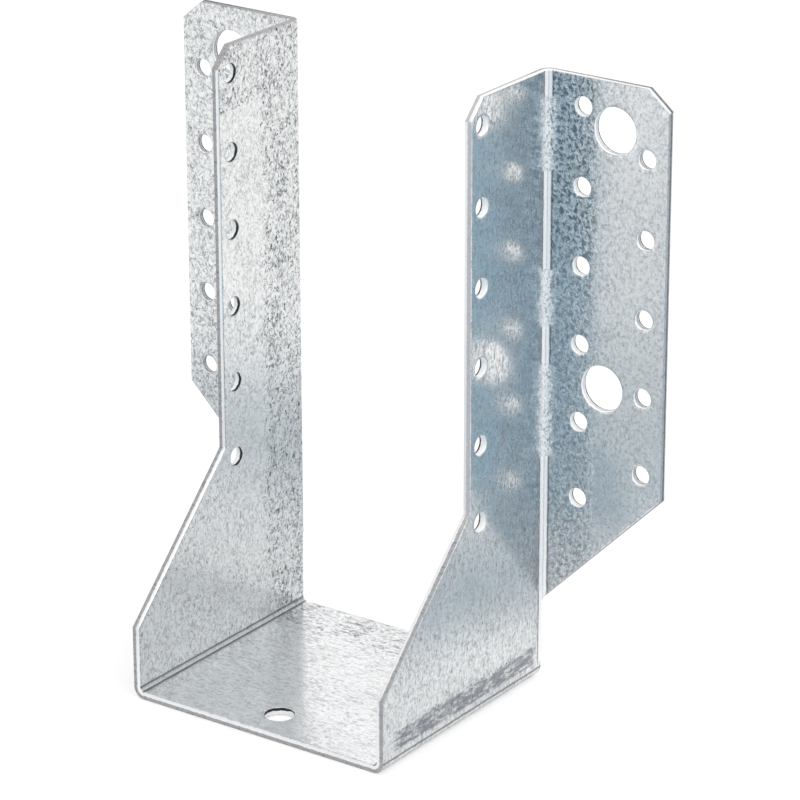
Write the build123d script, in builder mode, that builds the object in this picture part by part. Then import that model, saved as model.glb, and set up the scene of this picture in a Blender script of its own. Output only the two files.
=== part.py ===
from build123d import *
import os
from math import floor, radians, tan

# Joist hanger, one folded sheet of galvanised steel.
# X runs across the joist, +Y towards the header and +Z up.
# The origin is on the underside of the seat, in the middle of the width and the depth.

# Sheet and folds
sheet = 2.0
bend_radius = 1.0
fold_radius = bend_radius + sheet

# Pocket for the joist: two cheeks that stand on a seat
joist_width = 72.0
pocket_height = 156.5
depth = 70.0
cheek_top_depth = 34.0
knee_low = 19.0
knee_high = 55.0
cheek_chamfer = 5.0
seat_setback = 2.0

# Flanges that lie against the header
flange_width = 34.0
flange_low_corner = 55.5
flange_cut_angle = 45.0
flange_chamfer_across = 6.0
flange_chamfer_down = 5.0

# Holes in each flange, measured from the cheek's outer face and from the top.
# A nail column goes on downwards while its holes keep their height above the slanted cut.
nail_hole = 4.8
nail_pitch = 20.0
nail_above_cut = 9.0
inner_nail_offset = 10.0
inner_nail_drop = 7.5
outer_nail_offset = 28.0
outer_nail_drop = 17.5
bolt_hole = 11.6
upper_bolt_offset = 19.0
upper_bolt_drop = 12.0
lower_bolt_offset = 16.5
lower_bolt_drop = 77.5

# Nail holes in each cheek, measured from its front edge and from the top
cheek_nail_inset = 4.5
cheek_nail_drop = 7.0

# Hole in the seat, measured from its front edge
seat_hole = 7.4
seat_hole_inset = 9.5

# Faces that follow from the sizes
height = sheet + pocket_height
cheek_inside = joist_width / 2
cheek_outside = cheek_inside + sheet
flange_edge = cheek_outside + flange_width
header_face = depth / 2
front_edge = header_face - depth
seat_rear = header_face - seat_setback
cheek_front = header_face - cheek_top_depth
fold_line = header_face - fold_radius


def cut_height(across):
    """Height of the flange's slanted cut, which runs on through the fold, at a place across the hanger."""
    return flange_low_corner - (flange_edge - across) * tan(radians(flange_cut_angle))


def nail_rows(across, drop):
    """Number of nail holes that a flange column has room for above the slanted cut."""
    return floor((height - drop - cut_height(across) - nail_above_cut) / nail_pitch) + 1


def column(across, drop, rows):
    """Hole centres one pitch apart, from the top one down."""
    return [(across, height - drop - row * nail_pitch) for row in range(rows)]


inner_column = cheek_outside + inner_nail_offset
outer_column = cheek_outside + outer_nail_offset
inner_rows = nail_rows(inner_column, inner_nail_drop)
outer_rows = nail_rows(outer_column, outer_nail_drop)

# Right-hand flange, with the fold that joins it to its cheek
with BuildPart() as flange:
    with BuildSketch(Plane.XY):
        with BuildLine():
            FilletPolyline(
                (cheek_inside, fold_line - fold_radius),
                (cheek_inside, header_face),
                (flange_edge, header_face),
                radius=fold_radius,
            )
            offset(amount=sheet, side=Side.RIGHT)
        make_face()
    extrude(amount=height)

    with BuildSketch(Plane.XZ):
        with BuildLine():
            Polyline(
                (cheek_inside, cut_height(cheek_inside)),
                (flange_edge, flange_low_corner),
                (flange_edge, height - flange_chamfer_down),
                (flange_edge - flange_chamfer_across, height),
                (cheek_inside, height),
                close=True,
            )
        make_face()
    extrude(amount=depth, both=True, mode=Mode.INTERSECT)

    with BuildSketch(Plane.XZ):
        with Locations(*column(inner_column, inner_nail_drop, inner_rows)):
            Circle(nail_hole / 2)
        with Locations(*column(outer_column, outer_nail_drop, outer_rows)):
            Circle(nail_hole / 2)
        with Locations(
            (cheek_outside + upper_bolt_offset, height - upper_bolt_drop),
            (cheek_outside + lower_bolt_offset, height - lower_bolt_drop),
        ):
            Circle(bolt_hole / 2)
    extrude(amount=depth, both=True, mode=Mode.SUBTRACT)

# The whole sheet: seat and cheeks, with a flange folded out from each cheek
with BuildPart() as joist_hanger:
    with BuildSketch(Plane.XZ):
        with BuildLine():
            FilletPolyline(
                (-cheek_inside, height),
                (-cheek_inside, sheet),
                (cheek_inside, sheet),
                (cheek_inside, height),
                radius=bend_radius,
            )
            offset(amount=sheet, side=Side.RIGHT)
        make_face()
    extrude(amount=depth, both=True)

    # Below the fold the cheek's rear edge steps back in line with the seat's
    with BuildSketch(Plane.YZ):
        with BuildLine():
            Polyline(
                (front_edge, 0),
                (front_edge, knee_low),
                (cheek_front, knee_high),
                (cheek_front, height - cheek_chamfer),
                (cheek_front + cheek_chamfer, height),
                (fold_line, height),
                (fold_line, cut_height(cheek_outside)),
                (seat_rear, cut_height(cheek_outside)),
                (seat_rear, 0),
                close=True,
            )
        make_face()
    extrude(amount=cheek_outside, both=True, mode=Mode.INTERSECT)

    # Each cheek has as many nails as the flange's inner column, level with them but for the drop
    with BuildSketch(Plane.YZ):
        with Locations(*column(cheek_front + cheek_nail_inset, cheek_nail_drop, inner_rows)):
            Circle(nail_hole / 2)
    extrude(amount=cheek_outside, both=True, mode=Mode.SUBTRACT)

    with BuildSketch(Plane.XY):
        with Locations((0, front_edge + seat_hole_inset)):
            Circle(seat_hole / 2)
    extrude(amount=sheet, mode=Mode.SUBTRACT)

    add(flange.part)
    mirror(flange.part, about=Plane.YZ)

joist_hanger.part.label = "joist_hanger"

os.makedirs("parts", exist_ok=True)
export_step(joist_hanger.part, "parts/joist_hanger.step")
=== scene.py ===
"""Looks of a joist hanger: one punched and folded sheet of galvanised steel on a plain pale floor."""

import logging
import math
from dataclasses import dataclass, field
from enum import Enum
from functools import reduce
from typing import ClassVar

import bpy
import numpy as np
from mathutils import Matrix, Vector
from mathutils.geometry import delaunay_2d_cdt


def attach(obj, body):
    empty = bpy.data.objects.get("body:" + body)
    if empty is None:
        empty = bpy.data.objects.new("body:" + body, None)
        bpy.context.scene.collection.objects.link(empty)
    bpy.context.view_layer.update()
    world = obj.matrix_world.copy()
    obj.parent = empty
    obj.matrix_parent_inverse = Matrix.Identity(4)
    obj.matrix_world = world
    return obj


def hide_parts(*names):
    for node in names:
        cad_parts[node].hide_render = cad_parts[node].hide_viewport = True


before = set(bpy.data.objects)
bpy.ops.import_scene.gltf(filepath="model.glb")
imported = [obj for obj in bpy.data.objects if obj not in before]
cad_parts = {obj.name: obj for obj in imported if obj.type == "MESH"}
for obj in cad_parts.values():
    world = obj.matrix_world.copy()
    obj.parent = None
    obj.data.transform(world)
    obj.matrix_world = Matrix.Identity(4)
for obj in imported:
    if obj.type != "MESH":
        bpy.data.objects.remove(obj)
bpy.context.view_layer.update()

log = logging.getLogger("joist_hanger")

MM = 0.001
METRES_TO_MM = (1 / MM,) * 3
QUARTER_TURN = math.pi / 2

Socket = bpy.types.NodeSocket
Color = tuple[float, float, float, float]
Range = tuple[float, float]
Value = Socket | float | str | tuple[float, ...]


class Side(Enum):
    """The two halves of the hanger, each with the sign of its X."""

    LEFT = -1
    RIGHT = 1


class Face(Enum):
    """The two faces of the sheet, as places through its thickness from -1 to 1."""

    OUTER = -1.0
    POCKET = 1.0


# ---- the sheet's form


@dataclass(frozen=True)
class SheetSizes:
    """Sizes of the folded sheet in millimetres, the same as the part's source has."""

    thickness: float = 2.0
    bend_radius: float = 1.0
    joist_width: float = 72.0
    pocket_height: float = 156.5
    depth: float = 70.0
    cheek_top_depth: float = 34.0
    knee_low: float = 19.0
    knee_high: float = 55.0
    cheek_chamfer: float = 5.0
    seat_setback: float = 2.0
    flange_width: float = 34.0
    flange_low_corner: float = 55.5
    flange_chamfer_across: float = 6.0
    flange_chamfer_down: float = 5.0
    nail_hole: float = 4.8
    nail_pitch: float = 20.0
    inner_nails: int = 6
    inner_nail_offset: float = 10.0
    inner_nail_drop: float = 7.5
    outer_nails: int = 5
    outer_nail_offset: float = 28.0
    outer_nail_drop: float = 17.5
    bolt_hole: float = 11.6
    bolts: tuple[Range, ...] = ((19.0, 12.0), (16.5, 77.5))
    cheek_nail_inset: float = 4.5
    cheek_nail_drop: float = 7.0
    seat_hole: float = 7.4
    seat_hole_inset: float = 9.5

    @property
    def bend_middle(self) -> float:
        """Radius of the sheet's middle in a bend."""
        return self.bend_radius + self.thickness / 2

    @property
    def bend_run(self) -> float:
        """Length of the sheet's middle in a quarter bend."""
        return self.bend_middle * QUARTER_TURN

    @property
    def height(self) -> float:
        """Overall height."""
        return self.thickness + self.pocket_height

    @property
    def seat_half(self) -> float:
        """Half the seat's flat width."""
        return self.joist_width / 2 - self.bend_radius

    @property
    def bend_end(self) -> float:
        """Place along the sheet at which the cheek starts to be flat."""
        return self.seat_half + self.bend_run

    @property
    def cheek_foot(self) -> float:
        """Height at which the cheek starts to be flat."""
        return self.thickness + self.bend_radius

    @property
    def header_face(self) -> float:
        """Y of the flange's back."""
        return self.depth / 2

    @property
    def front_edge(self) -> float:
        """Y of the seat's front edge."""
        return self.header_face - self.depth

    @property
    def fold_line(self) -> float:
        """Y at which the cheek starts to fold into the flange."""
        return self.header_face - self.thickness - self.bend_radius

    @property
    def fold_end(self) -> float:
        """Place across the sheet at which the flange starts to be flat."""
        return self.fold_line + self.bend_run

    @property
    def cheek_front(self) -> float:
        """Y of the cheek's front edge above the knee."""
        return self.header_face - self.cheek_top_depth

    @property
    def fold_foot(self) -> float:
        """Height at which the slanted cut reaches the fold."""
        return self.flange_low_corner - (self.flange_width - self.bend_radius)


@dataclass(frozen=True)
class FlatPattern:
    """The sheet laid flat: X along the strip that makes the seat and the cheeks, Y across it.

    A place on the sheet is (along, across, through): along is 0 in the seat's middle, across is
    the hanger's own Y up to the fold line, and through runs from the outer face to the pocket's.
    """

    sizes: SheetSizes = field(default_factory=SheetSizes)
    grid: float = 1.6
    bend_rows: int = 8

    def along(self, height: float) -> float:
        """Place along the strip of a height on the right cheek."""
        return self.sizes.bend_end + height - self.sizes.cheek_foot

    def across_flange(self, offset: float) -> float:
        """Place across the strip of a distance from the cheek's outer face on the flange."""
        return self.sizes.fold_end + offset - self.sizes.bend_radius

    def outline(self) -> list[tuple[float, float]]:
        """Corners of the flat sheet, counter-clockwise from the seat's front.

        Returns:
            The corners as (along, across).
        """
        s = self.sizes
        edge = self.across_flange(s.flange_width)
        top = self.along(s.height)
        rear = s.header_face - s.seat_setback
        cut_foot = s.flange_low_corner - (edge - rear)
        right = [
            (self.along(s.knee_low), s.front_edge),
            (self.along(s.knee_high), s.cheek_front),
            (top - s.cheek_chamfer, s.cheek_front),
            (top, s.cheek_front + s.cheek_chamfer),
            (top, edge - s.flange_chamfer_across),
            (top - s.flange_chamfer_down, edge),
            (self.along(s.flange_low_corner), edge),
            (self.along(cut_foot), rear),
        ]
        return right + [(-along, across) for along, across in reversed(right)]

    def holes(self) -> list[tuple[float, float, float]]:
        """Every punched hole of the flat sheet.

        Returns:
            (along, across, radius) of each hole.
        """
        s = self.sizes
        columns = (
            (self.across_flange(s.inner_nail_offset), s.inner_nail_drop, s.inner_nails, s.nail_hole),
            (self.across_flange(s.outer_nail_offset), s.outer_nail_drop, s.outer_nails, s.nail_hole),
            *((self.across_flange(offset), drop, 1, s.bolt_hole) for offset, drop in s.bolts),
            (s.cheek_front + s.cheek_nail_inset, s.cheek_nail_drop, s.inner_nails, s.nail_hole),
        )
        found = [(0.0, s.front_edge + s.seat_hole_inset, s.seat_hole / 2)]
        for side in Side:
            for across, drop, count, size in columns:
                for row in range(count):
                    along = self.along(s.height - drop - row * s.nail_pitch)
                    found.append((side.value * along, across, size / 2))
        return found

    def lines(self) -> tuple[np.ndarray, np.ndarray]:
        """Grid lines along and across the sheet, close together in the bends.

        Returns:
            The places of the lines along the strip, and across it.
        """
        s = self.sizes
        bend = np.linspace(0, s.bend_run, self.bend_rows + 1)

        def run(start: float, end: float) -> np.ndarray:
            """Even steps over a flat stretch."""
            return np.linspace(start, end, max(1, round((end - start) / self.grid)) + 1)

        def rounded(*runs: np.ndarray) -> np.ndarray:
            """Runs joined into one, each place once."""
            return np.unique(np.round(np.concatenate(runs), 5))

        half = np.concatenate([run(0, s.seat_half), s.seat_half + bend, run(s.bend_end, self.along(s.height))])
        edge = self.across_flange(s.flange_width)
        across = rounded(run(s.front_edge, s.fold_line), s.fold_line + bend, run(s.fold_end, edge))
        return rounded(half, -half), across

    def fold(self, flat: np.ndarray) -> np.ndarray:
        """Folds places on the flat sheet into the hanger.

        Args:
            flat: rows of (along, across, through), in millimetres, through from -1 to 1.

        Returns:
            Rows of (x, y, z) in millimetres.
        """
        s = self.sizes
        side = np.where(flat[:, 0] < 0, -1.0, 1.0)
        along, across = np.abs(flat[:, 0]), flat[:, 1]
        lift = flat[:, 2] * s.thickness / 2
        turn = np.clip((along - s.seat_half) / s.bend_middle, 0, QUARTER_TURN)
        reach = s.bend_middle - lift
        x = np.minimum(along, s.seat_half) + reach * np.sin(turn)
        z = s.cheek_foot - reach * np.cos(turn) + np.maximum(along - s.bend_end, 0)
        # The fold runs out where the slanted cut ends, over a short stretch of the cheek's rear edge
        start = self.along(s.fold_foot) - s.bend_run
        grown = np.clip((along - start) / s.bend_run, 0, 1)
        grown = grown * grown * (3 - 2 * grown)
        past = np.maximum(across - s.fold_line, 0)
        angle = np.clip(past / s.bend_middle, 0, QUARTER_TURN)
        arc = s.bend_middle + lift
        flat_from = s.joist_width / 2 + s.thickness + s.bend_radius
        folded_x = flat_from - arc * np.cos(angle) + np.maximum(past - s.bend_run, 0)
        folded_y = s.fold_line + arc * np.sin(angle)
        bent = (past > 0) & (along > s.bend_end)
        x = np.where(bent, x + (folded_x - x) * grown, x)
        y = np.where(bent, across + (folded_y - across) * grown, across)
        return np.stack([side * x, y, z], axis=1)


@dataclass(frozen=True)
class EdgeProfile:
    """The sheared edge's section: how far each ring lies in from the edge, and where through the sheet.

    A tool draws the face that it enters down into a soft roll, and leaves a sharper edge behind.
    The holes are punched from the outer face, and the outline is cut from the pocket's face.
    """

    rings: tuple[Range, ...] = (
        (0.90, -1.0), (0.48, -0.99), (0.26, -0.95), (0.12, -0.87), (0.03, -0.72), (0.0, -0.5),
        (0.0, 0.1), (0.02, 0.5), (0.05, 0.86), (0.11, 0.96), (0.2, 1.0), (0.5, 1.0), (0.90, 1.0),
    )
    cut_reach: float = 0.125
    hole_roll: float = 0.62

    @property
    def deepest(self) -> float:
        """How far in from the edge the section starts."""
        return self.rings[0][0]

    def at_outline(self) -> tuple[Range, ...]:
        """The section at the outline, with its roll on the pocket's side."""
        return tuple((inset, -through) for inset, through in reversed(self.rings))

    def at_hole(self) -> tuple[Range, ...]:
        """The section at a hole, with a tighter roll."""
        first, *between, last = self.rings
        return (first, *((inset * self.hole_roll, through) for inset, through in between), last)


@dataclass(frozen=True)
class FoldedSheet:
    """The hanger's sheet as one closed mesh, with rolled and sheared edges at its outline and holes."""

    pattern: FlatPattern
    profile: EdgeProfile
    corner_room: float = 0.6
    least_step: float = 0.3
    grid_room: float = 0.35
    filled_margin: float = 0.97
    outline_cut: float = 1.0
    hole_cut: float = 2.0

    def _edge_points(self) -> tuple[np.ndarray, np.ndarray]:
        """Walks round the outline.

        Returns:
            The points, and for each the direction into the sheet, longer at a corner so that
            both edges there move in by the same distance.
        """
        corners = np.array(self.pattern.outline())
        lines = self.pattern.lines()
        runs = np.roll(corners, -1, axis=0) - corners
        lengths = np.linalg.norm(runs, axis=1)
        normals = np.stack([-runs[:, 1], runs[:, 0]], axis=1) / lengths[:, None]
        points, inward = [], []
        for i, (corner, run, length, after) in enumerate(zip(corners, runs, lengths, normals)):
            before = normals[i - 1]
            points.append(corner)
            inward.append((before + after) / (1 + before @ after))
            stops = set()
            for axis in (0, 1):
                if abs(run[axis]) > 1e-6:
                    at = (lines[axis] - corner[axis]) / run[axis] * length
                    stops.update(at[(at > self.corner_room) & (at < length - self.corner_room)].tolist())
            last = 0.0
            for stop in sorted(stops):
                if stop - last > self.least_step:
                    points.append(corner + run * stop / length)
                    inward.append(after)
                    last = stop
        return np.array(points), np.array(inward)

    def _loops(self) -> list[tuple[np.ndarray, np.ndarray]]:
        """Walks round the outline and round each hole.

        Returns:
            The points of each, with the direction into the sheet.
        """
        loops = [self._edge_points()]
        for along, across, radius in self.pattern.holes():
            count = ring_points(radius)
            angles = -np.arange(count) / count * 2 * math.pi
            out = np.stack([np.cos(angles), np.sin(angles)], axis=1)
            loops.append((np.array([along, across]) + out * radius, out))
        return loops

    def _inside(self, points: np.ndarray, margin: float) -> np.ndarray:
        """Which points lie on the flat sheet, at least a margin in from its edges.

        Args:
            points: rows of (along, across).
            margin: least distance from the outline and the holes.

        Returns:
            One truth value a point.
        """
        corners = np.array(self.pattern.outline())
        within = np.zeros(len(points), bool)
        clear = np.ones(len(points), bool)
        for a, b in zip(corners, np.roll(corners, -1, axis=0)):
            crosses = (a[1] > points[:, 1]) != (b[1] > points[:, 1])
            with np.errstate(divide="ignore", invalid="ignore"):
                at = (b[0] - a[0]) * (points[:, 1] - a[1]) / (b[1] - a[1]) + a[0]
            within ^= crosses & (points[:, 0] < at)
            d = b - a
            t = np.clip(((points - a) @ d) / (d @ d), 0, 1)
            clear &= np.linalg.norm(points - (a + t[:, None] * d), axis=1) >= margin
        for along, across, radius in self.pattern.holes():
            clear &= np.hypot(points[:, 0] - along, points[:, 1] - across) >= radius + margin
        return within & clear

    def _surface(self, ring: list[np.ndarray]) -> tuple[np.ndarray, list[tuple[int, int, int]]]:
        """Fills the flat sheet with triangles inside its innermost rings.

        Args:
            ring: the points of each loop's innermost ring.

        Returns:
            All points, the rings' first and in order, and the triangles.
        """
        along, across = self.pattern.lines()
        mesh = np.stack(np.meshgrid(along, across, indexing="ij"), axis=-1).reshape(-1, 2)
        mesh = mesh[self._inside(mesh, self.profile.deepest + self.grid_room)]
        points = np.concatenate(ring + [mesh])
        edges, start = [], 0
        for loop in ring:
            edges += [(start + i, start + (i + 1) % len(loop)) for i in range(len(loop))]
            start += len(loop)
        _, _, faces, kept, _, _ = delaunay_2d_cdt([Vector(p) for p in points], edges, [], 0, 1e-6)
        origin = [ids[0] for ids in kept]
        triangles = np.array([[origin[i] for i in face] for face in faces])
        middle = points[triangles].mean(axis=1)
        triangles = triangles[self._inside(middle, self.profile.deepest * self.filled_margin)]
        return points, [tuple(t) for t in triangles.tolist()]

    def build(self) -> bpy.types.Object:
        """Makes the sheet's mesh, folded, in metres.

        Returns:
            The sheet, with its flat place and its cut edges kept as attributes.
        """
        loops = self._loops()
        surface, triangles = self._surface([points + inward * self.profile.deepest for points, inward in loops])
        first = len(surface)
        flat = [np.column_stack([surface, np.full(first, face.value)]) for face in Face]
        faces = [(a, c, b) for a, b, c in triangles] + [(a + first, b + first, c + first) for a, b, c in triangles]
        cut = [0.0] * len(faces)
        start, base = 0, 2 * first
        for hole, (points, inward) in enumerate(loops):
            count = len(points)
            rings = self.profile.at_hole() if hole else self.profile.at_outline()
            reach = self.profile.cut_reach * (self.profile.hole_roll if hole else 1.0)
            rows = [np.arange(start, start + count)]
            for inset, through in rings[1:-1]:
                rows.append(np.arange(base, base + count))
                flat.append(np.column_stack([points + inward * inset, np.full(count, through)]))
                base += count
            rows.append(np.arange(first + start, first + start + count))
            for row, (low, high) in enumerate(zip(rows, rows[1:])):
                on_cut = max(rings[row][0], rings[row + 1][0]) <= reach
                for i in range(count):
                    j = (i + 1) % count
                    faces.append((low[i], low[j], high[j], high[i]))
                cut += [(self.hole_cut if hole else self.outline_cut) if on_cut else 0.0] * count
            start += count
        flat_places = np.concatenate(flat)
        sheet = new_piece("folded_sheet", (self.pattern.fold(flat_places) * MM).tolist(), faces)
        place = sheet.data.attributes.new("flat_place", "FLOAT_VECTOR", "POINT")
        place.data.foreach_set("vector", (flat_places * MM).astype(np.float32).ravel())
        sheared = sheet.data.attributes.new("cut_face", "FLOAT", "FACE")
        sheared.data.foreach_set("value", np.array(cut, np.float32))
        sheet.data.shade_smooth()
        return sheet


def ring_points(radius: float) -> int:
    """Number of points round a hole of a radius."""
    return 8 * max(4, round(radius))


def stand(name: str, data: bpy.types.ID) -> bpy.types.Object:
    """Puts an object into the scene.

    Args:
        name: the object's name.
        data: its mesh, lamp or camera data.

    Returns:
        The object.
    """
    stood = bpy.data.objects.new(name, data)
    bpy.context.scene.collection.objects.link(stood)
    return stood


def new_piece(name: str, places: list, faces: list) -> bpy.types.Object:
    """Makes a mesh object in the scene.

    Args:
        name: the object's and the mesh's name.
        places: its points in metres.
        faces: its faces, as numbers of points.

    Returns:
        The object.
    """
    mesh = bpy.data.meshes.new(name)
    mesh.from_pydata(places, [], faces)
    mesh.update()
    return stand(name, mesh)


# ---- wiring of nodes


@dataclass(frozen=True)
class Noise:
    """A noise on the sheet, drawn out along, across and through it, and the part of it that makes a mark."""

    scale: float
    detail: float = 2.0
    roughness: float = 0.5
    distortion: float = 0.0
    drawn: tuple[float, float, float] = (1.0, 1.0, 1.0)
    over: tuple[float, ...] = (0.0, 1.0)


@dataclass
class Wiring:
    """Short ways to place and link nodes in one tree.

    A value is a number, a tuple or another node's output, and a mask runs from 0 to 1.
    """

    tree: bpy.types.NodeTree

    def put(self, socket: Socket, value: Value) -> None:
        """Links an input to another node's output, or sets it to a plain value.

        Args:
            socket: the input.
            value: the output or the plain value.
        """
        if isinstance(value, Socket):
            self.tree.links.new(value, socket)
        else:
            socket.default_value = value

    def node(self, kind: str, **inputs: Value) -> bpy.types.Node:
        """Makes a node and fills its inputs.

        Args:
            kind: the node's type.
            inputs: a value for each input, by the input's name with _ for a space.

        Returns:
            The node.
        """
        made = self.tree.nodes.new(kind)
        for name, value in inputs.items():
            self.put(made.inputs[name.replace("_", " ")], value)
        return made

    def maths(self, operation: str, *values: Value, clamp: bool = False, kind: str = "ShaderNodeMath") -> Socket:
        """Makes a Math node.

        Args:
            operation: what it does with the values.
            values: what it takes in.
            clamp: whether the result stays between 0 and 1.
            kind: the node's type.

        Returns:
            The result.
        """
        made = self.tree.nodes.new(kind)
        made.operation = operation
        if clamp:
            made.use_clamp = True
        for socket, value in zip(made.inputs, values):
            self.put(socket, value)
        return made.outputs[0]

    def vector(self, operation: str, *values: Value) -> Socket:
        """Makes a Vector Math node and gives its result."""
        return self.maths(operation, *values, kind="ShaderNodeVectorMath")

    def times(self, value: Value, *others: Value) -> Value:
        """Multiplies values."""
        return reduce(lambda a, b: self.maths("MULTIPLY", a, b), others, value)

    def plus(self, value: Value, *others: Value) -> Value:
        """Adds values."""
        return reduce(lambda a, b: self.maths("ADD", a, b), others, value)

    def minus(self, a: Value, b: Value) -> Socket:
        """Takes one value from another."""
        return self.maths("SUBTRACT", a, b)

    def most(self, a: Value, b: Value) -> Socket:
        """Gives the larger of two values."""
        return self.maths("MAXIMUM", a, b)

    def size_of(self, value: Value) -> Socket:
        """Drops a value's sign."""
        return self.maths("ABSOLUTE", value)

    def distance(self, a: Value, b: Value) -> Socket:
        """Gives the distance that two steps at a right angle make."""
        return self.maths("SQRT", self.plus(self.times(a, a), self.times(b, b)))

    def noise(self, place: Value, look: Noise) -> Socket:
        """Makes a noise texture.

        Args:
            place: where on the sheet it is read.
            look: its size and how far it is drawn out.

        Returns:
            The noise, which swings about 0.5.
        """
        if look.drawn != Noise.drawn:
            place = self.vector("DIVIDE", place, look.drawn)
        made = self.node("ShaderNodeTexNoise", Vector=place, Scale=look.scale, Detail=look.detail,
                         Roughness=look.roughness, Distortion=look.distortion)
        return made.outputs["Fac"]

    def mark(self, place: Value, look: Noise) -> Socket:
        """Makes a mask from a noise at a place."""
        return self.span(self.noise(place, look), *look.over)

    def swing(self, noise: Socket, amount: float) -> Socket:
        """Makes a noise swing about zero by an amount."""
        return self.times(self.minus(noise, 0.5), amount)

    def span(self, value: Value, low: float, high: float, to_low: Value = 0.0, to_high: Value = 1.0,
             smooth: bool = True) -> Socket:
        """Maps one range to another, clamped at both ends.

        Args:
            value: what is mapped.
            low: where the range starts.
            high: where the range ends.
            to_low: the result up to the start.
            to_high: the result from the end on.
            smooth: whether the result eases in and out.

        Returns:
            The result.
        """
        made = self.tree.nodes.new("ShaderNodeMapRange")
        made.interpolation_type = "SMOOTHSTEP" if smooth else "LINEAR"
        for socket, given in zip(made.inputs, (value, low, high, to_low, to_high)):
            self.put(socket, given)
        return made.outputs["Result"]

    def fall(self, value: Value, low: float, high: float) -> Socket:
        """Gives a mask that falls from 1 to 0 over a range."""
        return self.span(value, low, high, 1.0, 0.0)

    def stretch(self, value: Value, start: Range, end: Range) -> Socket:
        """Gives a mask that rises over one range and falls over another."""
        return self.times(self.span(value, *start), self.fall(value, *end))

    def between(self, mask: Value, a: Value, b: Value) -> Socket:
        """Goes straight from one value to another as a mask grows."""
        return self.span(mask, 0.0, 1.0, a, b, smooth=False)

    def mix(self, mask: Value, a: Value, b: Value) -> Socket:
        """Goes from one colour to another as a mask grows.

        Args:
            mask: how much there is of the second colour.
            a: the first colour.
            b: the second colour.

        Returns:
            The mixed colour.
        """
        made = self.tree.nodes.new("ShaderNodeMix")
        made.data_type = "RGBA"
        for number, value in ((0, mask), (6, a), (7, b)):
            self.put(made.inputs[number], value)
        return made.outputs[2]

    def split(self, place: Value) -> list[Socket]:
        """Splits a vector into its three parts."""
        return list(self.node("ShaderNodeSeparateXYZ", Vector=place).outputs)


class SharedGroup(Wiring):
    """The wiring of a shader node group, which starts from a place on the flat sheet in millimetres."""

    def __init__(self, name: str, inputs: dict[str, float]) -> None:
        """Starts the group.

        Args:
            name: the group's name.
            inputs: the default of each input after the place, by its name.
        """
        super().__init__(bpy.data.node_groups.new(name, "ShaderNodeTree"))
        self._socket("Place", "INPUT", "Vector")
        for label, default in inputs.items():
            self._socket(label, "INPUT", "Float").default_value = default
        self.given = self.node("NodeGroupInput").outputs
        self.made = self.node("NodeGroupOutput").inputs

    def _socket(self, name: str, way: str, kind: str) -> bpy.types.NodeTreeInterfaceSocket:
        """Adds a named input or output."""
        return self.tree.interface.new_socket(name, in_out=way, socket_type="NodeSocket" + kind)

    def give(self, name: str, value: Value) -> None:
        """Puts a value out of the group by a name."""
        self._socket(name, "OUTPUT", "Color" if name == "Color" else "Float")
        self.put(self.made[name], value)


# ---- punched lips, by Geometry Nodes


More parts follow.
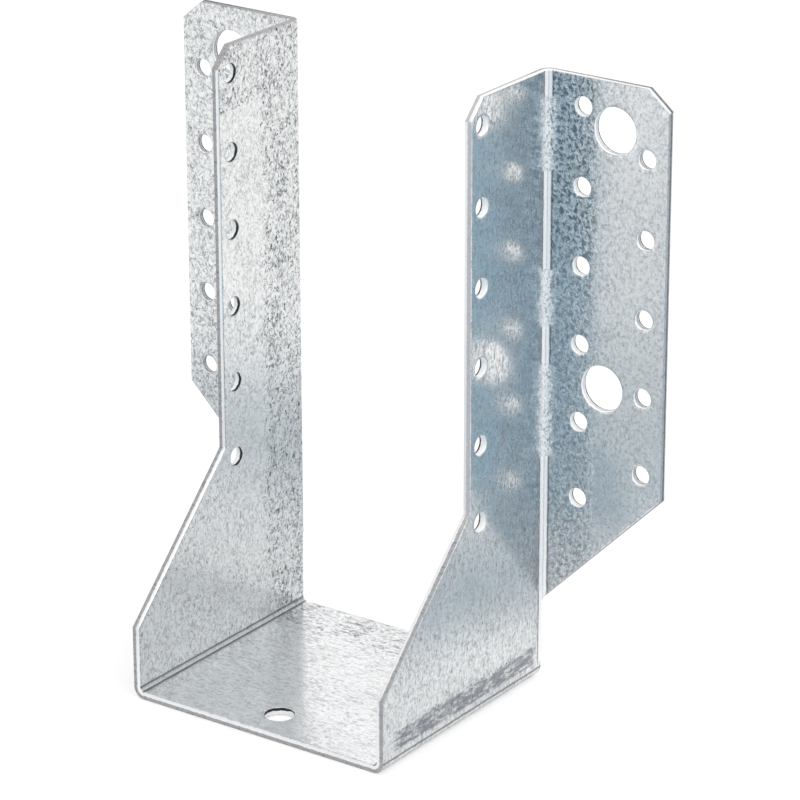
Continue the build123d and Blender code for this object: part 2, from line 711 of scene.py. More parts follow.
@dataclass(frozen=True)
class PunchedLips:
    """The thin lip that the punch leaves round each hole, on the face where it came out."""

    pattern: FlatPattern
    lip_width: float = 0.14
    lip_height: float = 0.05
    lip_setback: float = 1.6
    section_points: int = 6

    def _tree(self) -> bpy.types.NodeTree:
        """Builds the node tree that sets one ring on each hole's centre.

        Returns:
            The tree, with the ring's sizes as named inputs.
        """
        tree = bpy.data.node_groups.new("punched_lips", "GeometryNodeTree")
        for name, kind in (
            ("Hole Centres", "Geometry"), ("Hole Radius", "Float"), ("Lip Width", "Float"),
            ("Lip Height", "Float"), ("Ring Points", "Int"), ("Section Points", "Int"), ("Finish", "Material"),
        ):
            tree.interface.new_socket(name, in_out="INPUT", socket_type="NodeSocket" + kind)
        tree.interface.new_socket("Lips", in_out="OUTPUT", socket_type="NodeSocketGeometry")
        w = Wiring(tree)
        given = w.node("NodeGroupInput").outputs
        circle = "GeometryNodeCurvePrimitiveCircle"
        ring = w.node(circle, Resolution=given["Ring Points"], Radius=given["Hole Radius"])
        section = w.node(circle, Resolution=given["Section Points"], Radius=1.0)
        size = w.node("ShaderNodeCombineXYZ", X=given["Lip Width"], Y=given["Lip Height"], Z=1.0)
        shaped = w.node("GeometryNodeTransform", Geometry=section.outputs["Curve"], Scale=size.outputs["Vector"])
        swept = w.node("GeometryNodeCurveToMesh", Curve=ring.outputs["Curve"],
                       Profile_Curve=shaped.outputs["Geometry"])
        smooth = w.node("GeometryNodeSetShadeSmooth", Geometry=swept.outputs["Mesh"])
        turn = w.node("GeometryNodeInputNamedAttribute")
        turn.data_type = "FLOAT_VECTOR"
        w.put(turn.inputs["Name"], "turn")
        placed = w.node("GeometryNodeInstanceOnPoints", Points=given["Hole Centres"],
                        Instance=smooth.outputs["Geometry"], Rotation=turn.outputs["Attribute"])
        real = w.node("GeometryNodeRealizeInstances", Geometry=placed.outputs["Instances"])
        dressed = w.node("GeometryNodeSetMaterial", Geometry=real.outputs["Geometry"], Material=given["Finish"])
        w.node("NodeGroupOutput", Lips=dressed.outputs["Geometry"])
        return tree

    def _centres(self, radius: float) -> bpy.types.Object:
        """Makes a mesh with one point on the pocket's face at each hole of one radius.

        Args:
            radius: the holes' radius in millimetres.

        Returns:
            The points, each with the turn that lays a ring on the sheet there.
        """
        s = self.pattern.sizes
        flat, turns = [], []
        for along, across, hole_radius in self.pattern.holes():
            if hole_radius != radius:
                continue
            flat.append((along, across, Face.POCKET.value))
            if abs(along) < s.seat_half:
                turns.append((0.0, 0.0, 0.0))
            elif across < s.fold_line:
                turns.append((0.0, QUARTER_TURN, 0.0))
            else:
                turns.append((QUARTER_TURN, 0.0, 0.0))
        points = new_piece("hole_centres", (self.pattern.fold(np.array(flat)) * MM).tolist(), [])
        attribute = points.data.attributes.new("turn", "FLOAT_VECTOR", "POINT")
        attribute.data.foreach_set("vector", np.array(turns, np.float32).ravel())
        return points

    def build(self, finish: bpy.types.Material) -> bpy.types.Object:
        """Makes the lips of every hole as one plain mesh.

        Args:
            finish: the material of the lips.

        Returns:
            The lips as one object.
        """
        tree = self._tree()
        sockets = {item.name: item.identifier for item in tree.interface.items_tree if item.in_out == "INPUT"}
        places, faces = [], []
        for radius in sorted({hole_radius for _, _, hole_radius in self.pattern.holes()}):
            points = self._centres(radius)
            modifier = points.modifiers.new("lips", "NODES")
            modifier.node_group = tree
            for name, value in (
                ("Hole Radius", (radius + self.lip_width * self.lip_setback) * MM),
                ("Lip Width", self.lip_width * MM),
                ("Lip Height", self.lip_height * MM),
                ("Ring Points", ring_points(radius)),
                ("Section Points", self.section_points),
                ("Finish", finish),
            ):
                modifier[sockets[name]] = value
            evaluated = points.evaluated_get(bpy.context.evaluated_depsgraph_get())
            made = bpy.data.meshes.new_from_object(evaluated)
            offset = len(places)
            places += [v.co[:] for v in made.vertices]
            faces += [tuple(i + offset for i in p.vertices) for p in made.polygons]
            points.modifiers.remove(modifier)
            bpy.data.objects.remove(points)
            bpy.data.meshes.remove(made)
        lips = new_piece("hole_lips", places, faces)
        lips.data.materials.append(finish)
        lips.data.shade_smooth()
        return lips


# ---- finishes


@dataclass(frozen=True)
class ZincCoat:
    """The hot-dip zinc surface: crinkled cells, fine grain, streaks along the rolling direction and pits."""

    color: Color = (0.92, 0.925, 0.926, 1.0)
    shade: Color = (0.17, 0.18, 0.187, 1.0)
    # The spots' dark blue is partly the zinc's mottle and partly painted reflection of dark surroundings
    spot_with_painted_reflection: Color = (0.11, 0.175, 0.225, 1.0)
    roughness: Range = (0.13, 0.23)
    worn_span: Range = (0.38, 0.62)
    worn_by_clouds: float = 0.6
    worn_by_grain: float = 0.4
    shade_roughness: float = 0.25
    # Cells show as ridges where their noise crosses its middle
    cells: Noise = Noise(0.66, 1.5, 0.6, 0.7, drawn=(1.3, 1.0, 1.0), over=(0.008, 0.065))
    spots: Noise = Noise(0.95, 2.5, 0.65, 0.6, drawn=(1.1, 1.0, 1.0), over=(0.44, 0.62))
    streaks: Noise = Noise(1.35, 3.0, 0.65, 0.8, drawn=(3.4, 1.0, 1.0), over=(0.50, 0.58))
    pits: Noise = Noise(1.05, 1.0, 0.5, 0.6, drawn=(1.5, 1.0, 1.0), over=(0.685, 0.725))
    pit_gain: float = 0.024
    grain: Noise = Noise(1.25, 1.6, 0.65, drawn=(1.2, 1.0, 1.0))
    grain_level: float = 0.46
    clouds: Noise = Noise(0.09, 2.0, 0.55, over=(0.36, 0.62, 0.75, 1.05))
    # How high each mark stands
    spot_height: float = 0.4
    cell_height: float = 0.3
    grain_height: float = 0.22
    pit_height: float = -0.4
    streak_height: float = -0.1

    def group(self) -> bpy.types.NodeTree:
        """Builds the coat as a node group.

        Returns:
            The group, which gives a colour, a roughness and a height from a place and from how much
            of each kind of mark there is.
        """
        marks = dict.fromkeys(("Cells", "Spots", "Streaks", "Pits", "Grain"), 0.5)
        w = SharedGroup("zinc_coat", marks | {"Relief": 0.3})
        amount = w.given
        cell_noise, spot_noise, pit_noise, grain, cloud = (
            w.noise(amount["Place"], look)
            for look in (self.cells, self.spots, self.pits, self.grain, self.clouds)
        )
        crinkle = w.fall(w.size_of(w.minus(cell_noise, 0.5)), *self.cells.over)
        spots = w.span(spot_noise, *self.spots.over)
        streaks = w.mark(amount["Place"], self.streaks)
        pits = w.span(w.plus(pit_noise, w.times(amount["Pits"], self.pit_gain)), *self.pits.over)
        dark = w.plus(w.times(crinkle, amount["Cells"]), w.times(streaks, amount["Streaks"]))
        dark = w.times(dark, w.span(cloud, *self.clouds.over))
        dark = w.plus(dark, w.times(w.minus(grain, self.grain_level), amount["Grain"]))
        dark = w.maths("ADD", dark, w.times(pits, amount["Pits"]), clamp=True)
        # The spots go on last, in a dark blue that paints a reflection over the mottle
        w.give("Color", w.mix(w.times(spots, amount["Spots"]), w.mix(dark, self.color, self.shade), self.spot_with_painted_reflection))
        worn = w.plus(w.times(cloud, self.worn_by_clouds), w.times(grain, self.worn_by_grain))
        rough = w.span(worn, *self.worn_span, *self.roughness)
        w.give("Roughness", w.plus(rough, w.times(dark, self.shade_roughness)))
        height = w.plus(
            w.times(spot_noise, w.plus(self.spot_height, amount["Spots"])),
            w.times(cell_noise, w.plus(self.cell_height, amount["Cells"])),
            w.times(grain, self.grain_height),
            w.times(pits, self.pit_height),
            w.times(streaks, self.streak_height),
        )
        w.give("Height", w.times(height, amount["Relief"]))
        return w.tree


@dataclass(frozen=True)
class ShearedEdge:
    """The cut edge: pale where it is rolled and slid over, and grey or dark where the sheet tore; inside a hole
    the torn part is near black, partly painted shade.
    """

    rolled: Color = (0.96, 0.955, 0.96, 1.0)
    torn: Color = (0.43, 0.415, 0.42, 1.0)
    dragged: Color = (0.26, 0.25, 0.255, 1.0)
    worn: Color = (0.70, 0.68, 0.685, 1.0)
    slid_in_hole: Color = (1.0, 1.0, 1.0, 1.0)
    # Inside a hole the torn part is near black: a darker fracture with painted shade
    torn_and_shaded_in_hole: Color = (0.012, 0.012, 0.013, 1.0)
    roughness: Range = (0.6, 0.32)
    metallic: Range = (0.25, 0.45)
    metallic_in_hole: float = 0.1
    ragged: Noise = Noise(0.9, 2.0, 0.6, drawn=(1.0, 1.0, 2.5))
    drag: Noise = Noise(1.6, 3.0, 0.7, drawn=(1.0, 1.0, 10 / 3), over=(0.50, 0.66))
    # Places through the sheet, from -1 to 1
    ragged_swing: float = 0.5
    roll_start: Range = (-0.05, 0.25)
    torn_shift: float = 3.0
    tear_start: Range = (0.16, 0.32)
    late_tear: float = 0.32
    # The worn stretch of the right cheek's front edge, above the knee
    worn_along: Range = (84.0, 92.0)
    worn_across: Range = (24.0, 30.0)
    worn_share: float = 0.6

    def group(self) -> bpy.types.NodeTree:
        """Builds the edge as a node group.

        Returns:
            The group, which gives a colour, a roughness and how metallic the edge is, from a place,
            from whether it is in a hole, and from how the sheet was cut there.
        """
        inputs = dict.fromkeys(("In Hole", "Late Tear", "Turned Over", "Torn Through"), 0.0)
        w = SharedGroup("sheared_edge", inputs)
        given = w.given
        x, y, z = w.split(given["Place"])
        through = w.plus(z, w.swing(w.noise(given["Place"], self.ragged), self.ragged_swing))
        # Some stretches are cut from the other face, and some are torn through
        turned = w.times(through, w.between(given["Turned Over"], 1.0, -1.0))
        rolled = w.span(w.minus(turned, w.times(given["Torn Through"], self.torn_shift)), *self.roll_start)
        rough_part = w.mix(w.mark(given["Place"], self.drag), self.torn, self.dragged)
        paler = w.times(w.span(x, *self.worn_along), w.span(y, *self.worn_across, self.worn_share, 0.0))
        outline = w.mix(rolled, w.mix(paler, rough_part, self.worn), self.rolled)
        # In a hole, the part past the tear goes near black, which paints the hole's shade
        late = w.minus(through, w.times(given["Late Tear"], self.late_tear))
        hole = w.mix(w.span(late, *self.tear_start), self.slid_in_hole, self.torn_and_shaded_in_hole)
        w.give("Color", w.mix(given["In Hole"], outline, hole))
        w.give("Roughness", w.span(rolled, 0.0, 1.0, *self.roughness))
        on_outline = w.span(rolled, 0.0, 1.0, *self.metallic)
        w.give("Metallic", w.between(given["In Hole"], on_outline, self.metallic_in_hole))
        return w.tree


@dataclass(frozen=True)
class WorkedZones:
    """Where the sheet was worked, and where shade and highlight are painted on it: bent strips, the fold to the
    flange, and a rubbed band at the cheeks' feet.

    All sizes are in millimetres, and a pair says where a zone starts or ends softly.
    """

    sizes: SheetSizes = field(default_factory=SheetSizes)
    wobble: Noise = Noise(0.5, 2.0, 0.6)
    wobble_swing: float = 0.35
    line_softness: Range = (0.4, 1.0)
    ragged: Noise = Noise(0.9, 3.0, 0.65)
    # The seat's bends: a dark line of painted shade on each side, and the strip between them, which gets painted
    # shade on the pocket's side
    bend_lines: tuple[Range, Range] = ((0.4, 0.75), (-0.05, 0.30))
    bend_line_in_pocket: float = 0.55
    # The fold's strip: worn zinc with a painted highlight, crisp between two dotted lines of painted shade, but
    # for some heights where it is speckled and broader
    speckled: tuple[Range, ...] = ((60.0, 84.0), (94.0, 108.5), (133.5, 152.0))
    speckled_end: float = 0.6
    strip_line: Range = (2.1, 0.32)
    hair_line: tuple[float, float, float] = (0.25, 0.30, 0.5)
    dots: Noise = Noise(2.2, 1.0, over=(0.34, 0.52, 0.45, 1.0))
    strip_half: Range = (1.65, 2.0)
    specks: Noise = Noise(1.4, 2.0, 0.6, over=(0.36, 0.54))
    speckle_half: Range = (1.7, 3.8)
    speckle_swing: float = 5.0
    # The rubbed band at each cheek's foot
    scuffs: Noise = Noise(0.85, 4.0, 0.7, 0.8, drawn=(1.0, 10 / 3, 1.0), over=(0.34, 0.56))
    rub_low: Range = (1.2, 2.0)
    rub_high: Range = (8.5, 9.5)
    rub_front: Range = (-31.5, -29.5)
    rub_rear: Range = (28.5, 31.0)
    rub_ragged: float = 5.0
    # The pocket's side is smoother in front, up to a sharp edge high on the left cheek
    smooth_top: float = 142.0
    smooth_rear: Range = (19.0, 23.0)
    smooth_ragged: float = 6.0
    # The rest: the flange's outer part, the cheek's rear part and the upper part
    rim: Range = (11.0, 14.5)
    rim_swing: float = 4.0
    near_fold: Range = (18.0, 30.0)
    near_fold_ragged: float = 8.0
    upper: Range = (92.0, 122.0)

    def group(self) -> bpy.types.NodeTree:
        """Builds the zones as a node group.

        Returns:
            The group, which gives masks from a place.
        """
        s = self.sizes
        w = SharedGroup("worked_zones", {})
        place = w.given["Place"]
        x, y, z = w.split(place)
        along = w.size_of(x)
        wobble = w.swing(w.noise(place, self.wobble), self.wobble_swing)
        ragged = w.noise(place, self.ragged)

        def after(at: float, pair: Range) -> Range:
            """A pair that is measured from a place."""
            return at + pair[0], at + pair[1]

        def line(position: Socket, at: float, width: Value) -> Socket:
            """A thin line that wobbles about a place."""
            off = w.size_of(w.minus(w.plus(position, wobble), at))
            return w.fall(w.maths("DIVIDE", off, width), *self.line_softness)

        pocket = w.span(z, -0.5, 0.5)
        outer = w.minus(1.0, pocket)
        on_cheek = w.span(along, s.bend_end, s.bend_end + 2)
        # The bends' dark lines and the darker inside of the bends on the pocket's side are painted shade
        (seat_side, seat_width), (cheek_side, cheek_width) = self.bend_lines
        by_cheek = line(along, s.bend_end + cheek_side, w.between(pocket, cheek_width, self.bend_line_in_pocket))
        bends = w.most(w.times(line(along, s.seat_half + seat_side, seat_width), pocket), by_cheek)
        in_bend = w.stretch(along, after(s.seat_half, (-0.1, 0.3)), after(s.bend_end, (-0.2, 0.1)))
        w.give("Bend", w.times(in_bend, pocket))

        crisp = 1.0
        soft = (-self.speckled_end, self.speckled_end)
        for low, high in self.speckled:
            start, end = (s.bend_end + height - s.cheek_foot for height in (low, high))
            crisp = w.minus(crisp, w.stretch(along, after(start, soft), after(end, soft)))
        # The fold's dotted dark lines are painted shade too
        middle = s.fold_line + s.bend_run / 2
        off, width = self.strip_line
        lines = w.most(line(y, middle - off, width), line(y, middle + off, width))
        off, width, share = self.hair_line
        lines = w.most(lines, w.times(line(y, middle + off, width), share))
        lines = w.times(lines, on_cheek, w.span(crisp, 0.0, 1.0, 0.05, 1.0), w.mark(place, self.dots))
        w.give("Line", w.most(bends, w.times(lines, outer)))
        # The fold's pale strip and its broader speckled patch are worn zinc with a painted highlight
        off_fold = w.size_of(w.minus(y, middle))
        specks = w.mark(place, self.specks)
        unbroken = w.most(w.span(crisp, 0.0, 1.0, 0.1, 1.0), specks)
        w.give("Burnish And Highlight", w.times(w.fall(off_fold, *self.strip_half), unbroken, on_cheek, outer))
        reach = w.plus(off_fold, w.swing(ragged, self.speckle_swing))
        wide = w.times(w.fall(reach, *self.speckle_half), w.fall(crisp, 0.0, 1.0))
        w.give("Speckle", w.times(wide, specks, on_cheek, outer))

        upper_edge = w.plus(along, w.times(ragged, self.rub_ragged))
        band = w.times(w.span(along, *after(s.bend_end, self.rub_low)),
                       w.fall(upper_edge, *after(s.bend_end, self.rub_high)))
        ends = w.stretch(y, self.rub_front, self.rub_rear)
        w.give("Rub", w.times(band, w.mark(place, self.scuffs), ends, outer))
        below = w.span(x, *after(s.cheek_foot - s.bend_end - self.smooth_top, (-0.3, 0.0)))
        to_rear = w.plus(y, w.times(ragged, self.smooth_ragged))
        w.give("Smooth", w.times(below, w.fall(to_rear, *self.smooth_rear), pocket))

        left = w.fall(x, -0.5, 0.5)
        rim = w.span(w.plus(y, w.swing(ragged, self.rim_swing)), *after(s.fold_end, self.rim))
        near_fold = w.span(w.plus(y, w.times(ragged, self.near_fold_ragged)), *self.near_fold)
        ended = s.bend_end + s.height - s.cheek_foot - s.cheek_chamfer
        w.give("Flange", w.span(y, s.fold_line, s.fold_end))
        w.give("Flange Rim", w.most(rim, left))
        w.give("Left", left)
        w.give("Seat", w.fall(along, s.seat_half, s.bend_end))
        w.give("Pocket Face", pocket)
        w.give("Upper", w.span(along, *after(s.bend_end, self.upper)))
        w.give("Near Fold", w.times(near_fold, on_cheek, pocket))
        w.give("Top", w.span(along, *after(ended, (-0.3, 0.1))))
        return w.tree


@dataclass(frozen=True)
class Amounts:
    """How strong one kind of mark is in each zone of the sheet."""

    outer: float
    pocket: float
    seat: float
    by_fold: float
    rim: float
    left_flange: float


@dataclass(frozen=True)
class SteelFinish:
    """The materials of the hanger, built from the shared groups."""

    pattern: FlatPattern
    coat: bpy.types.NodeTree
    edge: bpy.types.NodeTree
    zones: bpy.types.NodeTree
    lip: Color = (0.82, 0.83, 0.84, 1.0)
    lip_share: float = 0.5
    smoothing: float = 0.45
    # The flange's front has more spots towards its top, and its back has few; the spots' dark blue is partly
    # painted reflection
    spots_at_top: float = 0.84
    spots_behind: float = 0.14
    pits_near_fold: float = 0.45
    speckle_roughness: float = 0.2
    burnish_roughness: float = 0.1
    # How much less metallic the painted highlight along the fold is, so that it shows pale
    highlight_matte_share: float = 0.82
    relief: float = 0.0002
    spring_back: float = 0.085

    marks: ClassVar[dict[str, Amounts]] = {
        "Cells": Amounts(0.20, 0.60, 0.16, 0.30, 0.24, 0.52),
        "Spots": Amounts(0.08, 0.10, 0.04, 0.48, 0.08, 0.16),
        "Streaks": Amounts(0.26, 0.20, 0.50, 0.04, 0.04, 0.06),
        "Pits": Amounts(0.30, 0.65, 0.35, 0.10, 0.15, 0.30),
        "Grain": Amounts(1.05, 1.4, 1.3, 1.3, 1.0, 1.15),
        "Relief": Amounts(0.14, 0.36, 0.20, 0.7, 0.22, 0.5),
    }
    # Washes over the coat: the burnish and speckle washes are worn zinc with a painted highlight, and the bend and
    # line washes are painted shade
    washes: ClassVar[tuple[tuple[str, float, Color], ...]] = (
        ("Burnish And Highlight", 0.92, (1.0, 1.0, 1.0, 1.0)),
        ("Speckle", 0.88, (0.93, 0.94, 0.95, 1.0)),
        ("Rub", 0.78, (0.17, 0.18, 0.215, 1.0)),
        ("Bend", 0.5, (0.36, 0.37, 0.375, 1.0)),
        ("Line", 0.8, (0.17, 0.17, 0.175, 1.0)),
    )

    def _start(self, name: str) -> tuple[bpy.types.Material, Wiring, bpy.types.Node]:
        """Starts a metal material.

        Args:
            name: the material's name.

        Returns:
            The material, its wiring and its Principled BSDF.
        """
        material = bpy.data.materials.new(name)
        material.use_nodes = True
        shader = material.node_tree.nodes["Principled BSDF"]
        shader.inputs["Metallic"].default_value = 1.0
        return material, Wiring(material.node_tree), shader

    def _use(self, w: Wiring, group: bpy.types.NodeTree, place: Socket) -> bpy.types.Node:
        """Places a shared group that starts from a place on the sheet.

        Args:
            w: the material's wiring.
            group: the shared group.
            place: the place that it starts from.

        Returns:
            The group's node.
        """
        node = w.tree.nodes.new("ShaderNodeGroup")
        node.node_tree = group
        w.put(node.inputs["Place"], place)
        return node

    def _mark(self, w: Wiring, coat: bpy.types.Node, zones: bpy.types.NodeOutputs) -> None:
        """Says how strong each mark of the coat is over the whole sheet.

        Args:
            w: the material's wiring.
            coat: the coat's group.
            zones: the masks of the worked zones.
        """
        pocket = zones["Pocket Face"]
        plain = w.minus(1.0, w.times(zones["Smooth"], self.smoothing))
        for name, at in self.marks.items():
            by_fold = at.by_fold
            if name == "Spots":
                by_fold = w.between(zones["Upper"], by_fold, self.spots_at_top)
                by_fold = w.between(pocket, by_fold, self.spots_behind)
            strip = w.between(zones["Seat"], w.between(pocket, at.outer, at.pocket), at.seat)
            rim = w.between(zones["Left"], at.rim, at.left_flange)
            flange = w.between(zones["Flange Rim"], by_fold, rim)
            strength = w.times(w.between(zones["Flange"], strip, flange), plain)
            if name == "Pits":
                strength = w.plus(strength, w.times(zones["Near Fold"], self.pits_near_fold))
            if name == "Relief":
                strength = w.times(strength, w.minus(1.0, zones["Burnish And Highlight"]))
            w.put(coat.inputs[name], strength)

    def sheet(self) -> bpy.types.Material:
        """Makes the sheet's material.

        Returns:
            The material, which reads the flat place and the cut faces that the mesh keeps.
        """
        material, w, shader = self._start("galvanised_sheet")
        kept, cut = (w.tree.nodes.new("ShaderNodeAttribute") for _ in range(2))
        kept.attribute_name, cut.attribute_name = "flat_place", "cut_face"
        place = w.vector("MULTIPLY", kept.outputs["Vector"], METRES_TO_MM)
        zones = self._use(w, self.zones, place).outputs
        flange, left, top = zones["Flange"], zones["Left"], zones["Top"]
        right = w.minus(1.0, left)
        coat = self._use(w, self.coat, place)
        self._mark(w, coat, zones)

        edge = self._use(w, self.edge, place)
        # A face is marked 1 on the outline's cut and 2 on a hole's
        is_cut = w.span(cut.outputs["Fac"], 0.3, 0.7)
        in_hole = w.span(cut.outputs["Fac"], 1.3, 1.7)
        w.put(edge.inputs["In Hole"], in_hole)
        # Holes on the flanges and on the right side get a thinner crescent of painted shade
        w.put(edge.inputs["Late Tear"], w.times(in_hole, w.most(flange, right)))
        w.put(edge.inputs["Torn Through"], w.times(top, left))
        w.put(edge.inputs["Turned Over"], w.times(top, right))

        color = coat.outputs["Color"]
        # Painted highlight and painted shade are laid over the coat's colour here, wash by wash
        for mask, share, wash in self.washes:
            color = w.mix(w.times(zones[mask], share), color, wash)
        w.put(shader.inputs["Base Color"], w.mix(is_cut, color, edge.outputs["Color"]))
        rough = w.minus(w.plus(coat.outputs["Roughness"], w.times(zones["Speckle"], self.speckle_roughness)),
                        w.times(zones["Burnish And Highlight"], self.burnish_roughness))
        w.put(shader.inputs["Roughness"], w.between(is_cut, rough, edge.outputs["Roughness"]))
        # The painted highlight along the fold is less metallic, so it stays pale whatever the steel mirrors
        metal = w.minus(1.0, w.times(w.most(zones["Speckle"], zones["Burnish And Highlight"]), self.highlight_matte_share))
        w.put(shader.inputs["Metallic"], w.between(is_cut, metal, edge.outputs["Metallic"]))

        # The flange springs back a little from the square, which shows only in what its front mirrors
        past_fold = w.minus(w.split(kept.outputs["Vector"])[1], self.pattern.sizes.fold_end * MM)
        lean = w.times(past_fold, flange, w.minus(zones["Pocket Face"], 1.0))
        sprung = w.node("ShaderNodeBump", Strength=1.0, Distance=self.spring_back, Height=lean)
        bump = w.node("ShaderNodeBump", Strength=1.0, Distance=self.relief, Height=coat.outputs["Height"],
                      Normal=sprung.outputs["Normal"])
        w.put(shader.inputs["Normal"], bump.outputs["Normal"])
        return material

    def lips(self) -> bpy.types.Material:
        """Makes the material of the punched lips.

        Returns:
            A worn, brighter zinc on the hanger's own coordinates.
        """
        material, w, shader = self._start("punched_lip")
        here = w.tree.nodes.new("ShaderNodeTexCoord")
        coat = self._use(w, self.coat, w.vector("MULTIPLY", here.outputs["Object"], METRES_TO_MM))
        w.put(shader.inputs["Base Color"], w.mix(self.lip_share, coat.outputs["Color"], self.lip))
        w.put(shader.inputs["Roughness"], coat.outputs["Roughness"])
        return material


# ---- stage, light and camera


@dataclass(frozen=True)
class Studio:
    """A pale floor that the camera sees white, under soft light that is brighter above and behind.

    The steel mirrors the floor in painted tones that the camera never sees: a cool, darker part on the camera's
    side and close behind, standing for shade and dark surroundings, and paler patches.
    Distances are in metres, and a pair says where one tone goes over into the next.
    """

    floor_radius: float = 6.0
    floor_drop: float = 0.0001
    floor_roughness: float = 0.9
    floor_seen: Color = (0.50, 0.495, 0.49, 1.0)
    floor_glow: float = 0.56
    floor_far: Color = (0.95, 0.95, 0.94, 1.0)
    floor_near: Color = (0.38, 0.455, 0.51, 1.0)
    near_to_far: Range = (0.08, 0.24)
    floor_close_behind: Color = (0.86, 0.87, 0.875, 1.0)
    close_to_behind: Range = (0.06, 0.13)
    floor_behind: Color = (0.55, 0.60, 0.63, 1.0)
    behind_to_far: Range = (0.14, 0.25)
    behind_to_near: Range = (0.055, 0.085)
    floor_left_near: Color = (0.49, 0.545, 0.575, 1.0)
    left_near_to_mid: Range = (0.13, 0.26)
    floor_left_mid: Color = (0.68, 0.70, 0.715, 1.0)
    left_far_to_mid: Range = (-0.18, -0.10)
    floor_left_far: Color = (0.96, 0.96, 0.955, 1.0)
    left_to_rest: Range = (-0.10, -0.04)
    # A paler patch round the hanger's foot: painted light that only the steel mirrors
    floor_foot: Color = (0.90, 0.905, 0.91, 1.0)
    foot_right: Range = (0.02, 0.035)
    foot_front: Range = (-0.035, -0.025)
    foot_reach: Range = (0.05, 0.10)
    # A blue sector in front of the right cheek, by its angles in degrees: painted dark surroundings that only the
    # steel mirrors
    floor_front: Color = (0.31, 0.46, 0.57, 1.0)
    corner: Range = (0.045, 0.02)
    sector_opens: Range = (-4.0, 10.0)
    sector_closes: Range = (64.0, 80.0)
    sector_starts: Range = (0.07, 0.12)
    sector_ends: Range = (0.9, 1.4)
    # The surroundings, by the direction of a ray
    seen: Color = (1.0, 1.0, 1.0, 1.0)
    world_front: Color = (0.54, 0.60, 0.64, 1.0)
    world_rear: Color = (1.05, 1.055, 1.06, 1.0)
    front_to_rear: Range = (0.1, 0.95)
    rear_turn: float = 0.35
    world_side: Color = (1.3, 1.3, 1.3, 1.0)
    side_starts: Range = (0.4, 0.8)
    side_way: Range = (0.85, 0.53)
    world_top: Color = (0.95, 0.95, 0.95, 1.0)
    top_starts: Range = (0.45, 0.75)
    lamp_place: tuple[float, float, float] = (0.6, -0.45, 1.3)
    lamp_aim: tuple[float, float, float] = (0.0, 0.0, 0.08)
    lamp_size: float = 1.0
    lamp_watts: float = 4.0

    def _floor_tones(self, w: Wiring) -> Socket:
        """Gives the floor's colour as the steel mirrors it: painted tones, darker near the hanger and in front of
        it, that the camera never sees.

        Args:
            w: the floor's wiring.

        Returns:
            The colour.
        """
        x, y, _ = w.split(w.tree.nodes.new("ShaderNodeTexCoord").outputs["Object"])
        far = w.distance(x, y)
        behind = w.mix(w.span(far, *self.close_to_behind), self.floor_close_behind, self.floor_behind)
        behind = w.mix(w.span(far, *self.behind_to_far), behind, self.floor_far)
        right = w.mix(w.span(far, *self.near_to_far), self.floor_near, self.floor_far)
        color = w.mix(w.span(x, *self.behind_to_near), behind, right)
        left = w.mix(w.span(x, *self.left_far_to_mid), self.floor_left_far, self.floor_left_mid)
        left = w.mix(w.span(far, *self.left_near_to_mid), self.floor_left_near, left)
        color = w.mix(w.fall(y, *self.left_to_rest), color, left)
        beside = w.most(w.span(x, *self.foot_right), w.fall(y, *self.foot_front))
        color = w.mix(w.times(w.fall(far, *self.foot_reach), beside), color, self.floor_foot)
        aside, ahead = w.minus(x, self.corner[0]), w.minus(self.corner[1], y)
        angle = w.maths("DEGREES", w.maths("ARCTAN2", aside, ahead))
        sector = w.times(w.stretch(angle, self.sector_opens, self.sector_closes),
                         w.stretch(w.distance(aside, ahead), self.sector_starts, self.sector_ends))
        return w.mix(sector, color, self.floor_front)

    def floor(self) -> None:
        """Lays the floor under the hanger, which isn't part of the object."""
        r = self.floor_radius
        floor = new_piece("floor", [(-r, -r, 0), (r, -r, 0), (r, r, 0), (-r, r, 0)], [(0, 1, 2, 3)])
        floor.location.z = -self.floor_drop
        material = bpy.data.materials.new("pale_floor")
        material.use_nodes = True
        w = Wiring(material.node_tree)
        seen = w.tree.nodes.new("ShaderNodeLightPath").outputs["Is Camera Ray"]
        for name, value in (
            ("Base Color", w.mix(seen, self._floor_tones(w), self.floor_seen)),
            ("Roughness", self.floor_roughness),
            ("Specular IOR Level", 0.0),
            ("Emission Color", self.seen),
            ("Emission Strength", w.times(seen, self.floor_glow)),
        ):
            w.put(w.tree.nodes["Principled BSDF"].inputs[name], value)
        floor.data.materials.append(material)

    def world(self) -> None:
        """Surrounds the scene with soft light, and with plain white where the camera sees it."""
        world = bpy.data.worlds.new("studio")
        bpy.context.scene.world = world
        world.use_nodes = True
        w = Wiring(world.node_tree)
        path = w.tree.nodes.new("ShaderNodeLightPath")
        x, y, z = w.split(w.tree.nodes.new("ShaderNodeTexCoord").outputs["Generated"])
        toward = w.minus(y, w.times(x, self.rear_turn))
        light = w.mix(w.span(toward, *self.front_to_rear), self.world_front, self.world_rear)
        beside = w.minus(w.times(x, self.side_way[0]), w.times(y, self.side_way[1]))
        light = w.mix(w.span(beside, *self.side_starts), light, self.world_side)
        light = w.mix(w.span(z, *self.top_starts), light, self.world_top)
        back = w.tree.nodes["Background"]
        w.put(back.inputs["Color"], w.mix(path.outputs["Is Camera Ray"], light, self.seen))

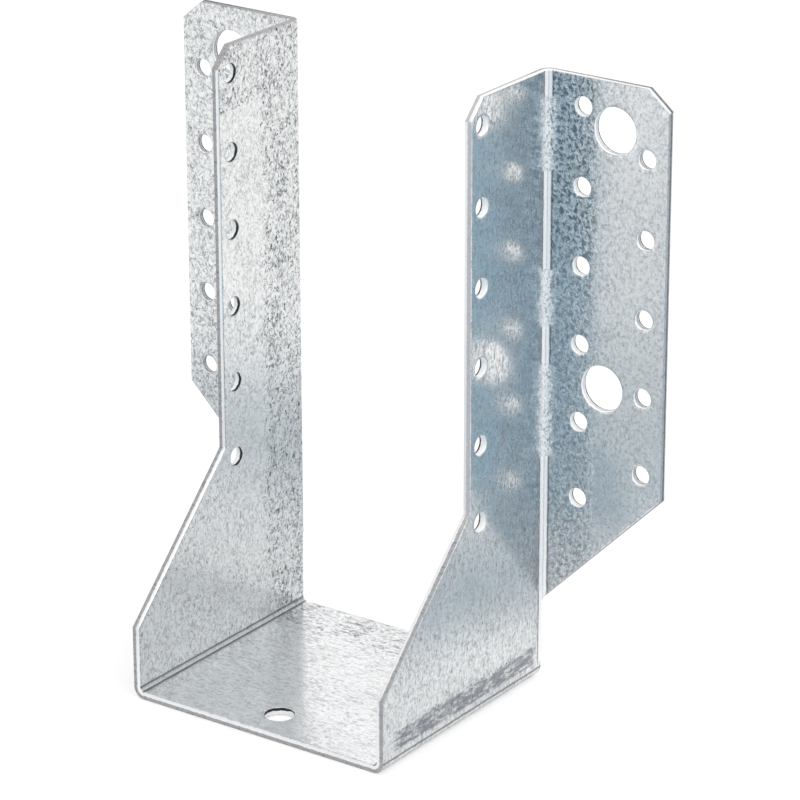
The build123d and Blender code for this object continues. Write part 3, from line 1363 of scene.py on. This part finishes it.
    def lamp(self) -> None:
        """Hangs a square soft lamp that faces the hanger."""
        data = bpy.data.lights.new("key_softbox", "AREA")
        data.size = self.lamp_size
        data.energy = self.lamp_watts
        lamp = stand("key_softbox", data)
        lamp.location = self.lamp_place
        lamp.rotation_mode = "QUATERNION"
        facing = Vector(self.lamp_aim) - Vector(self.lamp_place)
        lamp.rotation_quaternion = facing.to_track_quat("-Z", "Y")

    def build(self) -> None:
        """Sets up the floor, the surroundings and the lamp."""
        self.floor()
        self.world()
        self.lamp()


@dataclass(frozen=True)
class Camera:
    """The photograph's view: above the hanger and to its right, from some way off."""

    azimuth: float = 35.40
    elevation: float = 21.30
    roll: float = -0.108
    distance: float = 0.9473
    target: tuple[float, float, float] = (0.02183, -0.005, 0.08295)
    focal_pixels: float = 3973.5
    frame_pixels: float = 800.0
    sensor: float = 36.0
    clip: Range = (0.05, 50.0)

    def build(self) -> None:
        """Makes the camera and gives it to the scene."""
        a, e = math.radians(self.azimuth), math.radians(self.elevation)
        back = Vector((math.sin(a) * math.cos(e), -math.cos(a) * math.cos(e), math.sin(e)))
        data = bpy.data.cameras.new("camera")
        data.sensor_width = self.sensor
        data.lens = self.focal_pixels / self.frame_pixels * self.sensor
        data.clip_start, data.clip_end = self.clip
        camera = stand("camera", data)
        facing = (-back).to_track_quat("-Z", "Y").to_matrix().to_4x4()
        camera.matrix_world = (
            Matrix.Translation(Vector(self.target) + back * self.distance)
            @ facing @ Matrix.Rotation(math.radians(self.roll), 4, "Z")
        )
        bpy.context.scene.camera = camera


def main() -> None:
    """Builds the hanger, its finish and the studio, and reports each piece."""
    logging.basicConfig(level=logging.INFO, format="%(name)s: %(message)s")
    bpy.context.scene.view_settings.view_transform = "Standard"
    Camera().build()
    Studio().build()
    pattern = FlatPattern()
    finish = SteelFinish(pattern, ZincCoat().group(), ShearedEdge().group(), WorkedZones(pattern.sizes).group())
    sheet = FoldedSheet(pattern, EdgeProfile()).build()
    sheet.data.materials.append(finish.sheet())
    lips = PunchedLips(pattern).build(finish.lips())
    for piece in (sheet, lips):
        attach(piece, "root")
        piece.data.calc_loop_triangles()
        log.info("%s: %d triangles", piece.name, len(piece.data.loop_triangles))
    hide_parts("joist_hanger")


if __name__ == "__main__":
    main()
